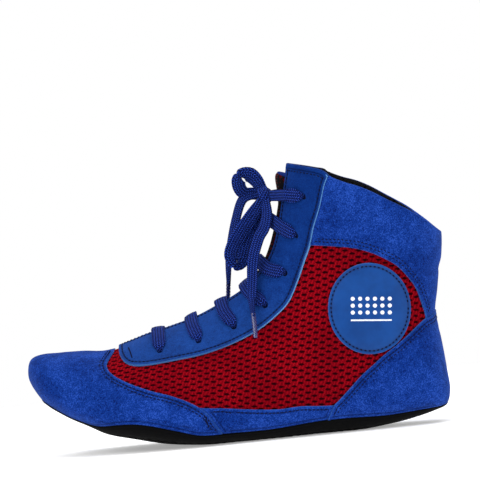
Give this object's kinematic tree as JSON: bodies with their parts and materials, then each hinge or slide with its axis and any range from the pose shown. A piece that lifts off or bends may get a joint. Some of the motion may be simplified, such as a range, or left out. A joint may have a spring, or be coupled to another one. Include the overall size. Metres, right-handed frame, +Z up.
{
  "type": "boxing boot",
  "caption": "Soft mid-height lace-up boxing boot, left foot: thin rubber sole, napped panels over open mesh, padded collar, tongue, tied flat laces.",
  "frame": {"origin": "centre of the boot's bounding box on the ground, laces left out", "axes": "toe to -X, heel to +X, outer (lateral) side to -Y, +Z up"},
  "size_m": [0.2826, 0.0939, 0.1819],
  "materials": {
    "sole_rubber": "matte, lightly textured",
    "badge_synthetic": "smooth coated synthetic, satin",
    "facing_leather": "fine napped leather, soft sheen",
    "suede": "napped suede, matt",
    "red_mesh": "knitted air mesh",
    "stiffener": "matt non-woven",
    "foam": "open foam",
    "lining_mesh": "soft knitted mesh",
    "board": "matt fibreboard",
    "sock_fabric": "brushed fabric on foam",
    "tongue_mesh": "padded air mesh",
    "aglet_plastic": "clear glossy film",
    "lace_braid": "flat woven braid, slight sheen"
  },
  "bodies": {
    "boot": {"outsole": "sole_rubber", "toe_cap": "suede", "heel_counter": "suede", "eyestay_lateral": "facing_leather", "collar_panel_lateral": "suede", "side_strip_lateral": "suede", "eyestay_medial": "facing_leather", "collar_panel_medial": "suede", "side_strip_medial": "suede", "toe_puff": "stiffener", "heel_stiffener": "stiffener", "eyelet_reinforcement_lateral": "stiffener", "collar_foam_lateral": "foam", "mesh_quarter_lateral": "red_mesh", "eyelet_reinforcement_medial": "stiffener", "collar_foam_medial": "foam", "mesh_quarter_medial": "red_mesh", "badge_lateral": "badge_synthetic", "badge_medial": "badge_synthetic", "lining_foot": "lining_mesh", "lining_shaft_lateral": "lining_mesh", "lining_shaft_medial": "lining_mesh", "insole_board": "board", "sock_liner": "sock_fabric", "tongue_lower": "tongue_mesh", "lace_bar_1": "lace_braid", "lace_bar_2": "lace_braid", "lace_bar_3": "lace_braid", "lace_bar_4": "lace_braid", "lace_bar_5": "lace_braid", "lace_bar_6": "lace_braid", "lace_end_lateral": "lace_braid", "lace_end_medial": "lace_braid", "lace_knot": "lace_braid"},
    "tongue": {"tongue_upper": "tongue_mesh"},
    "loop_lateral": {"lace_loop_lateral": "lace_braid"},
    "loop_medial": {"lace_loop_medial": "lace_braid"},
    "tail_lateral": {"lace_tail_lateral": "lace_braid", "aglet_lateral": "aglet_plastic"},
    "tail_medial": {"lace_tail_medial": "lace_braid", "aglet_medial": "aglet_plastic"}
  },
  "joints": [
    {"name": "tongue_tilt", "type": "hinge", "parent": "boot", "child": "tongue", "pos_m": [0.0225, 0.00222, 0.0915], "axis": [0, 1, 0], "range_deg": [0, 16]},
    {"name": "loop_lateral_swing", "type": "hinge", "parent": "boot", "child": "loop_lateral", "pos_m": [0.02475, -0.00198, 0.15605], "axis": [0, 1, 0], "range_deg": [0, 50]},
    {"name": "loop_medial_swing", "type": "hinge", "parent": "boot", "child": "loop_medial", "pos_m": [0.02025, 0.00642, 0.16655], "axis": [0, -1, 0], "range_deg": [0, 35]},
    {"name": "tail_lateral_swing", "type": "hinge", "parent": "boot", "child": "tail_lateral", "pos_m": [0.02615, -0.00598, 0.15595], "axis": [-1, 0, 0], "range_deg": [0, 60]},
    {"name": "tail_medial_swing", "type": "hinge", "parent": "boot", "child": "tail_medial", "pos_m": [0.02175, 0.01042, 0.16355], "axis": [1, 0, 0], "range_deg": [0, 60]}
  ]
}
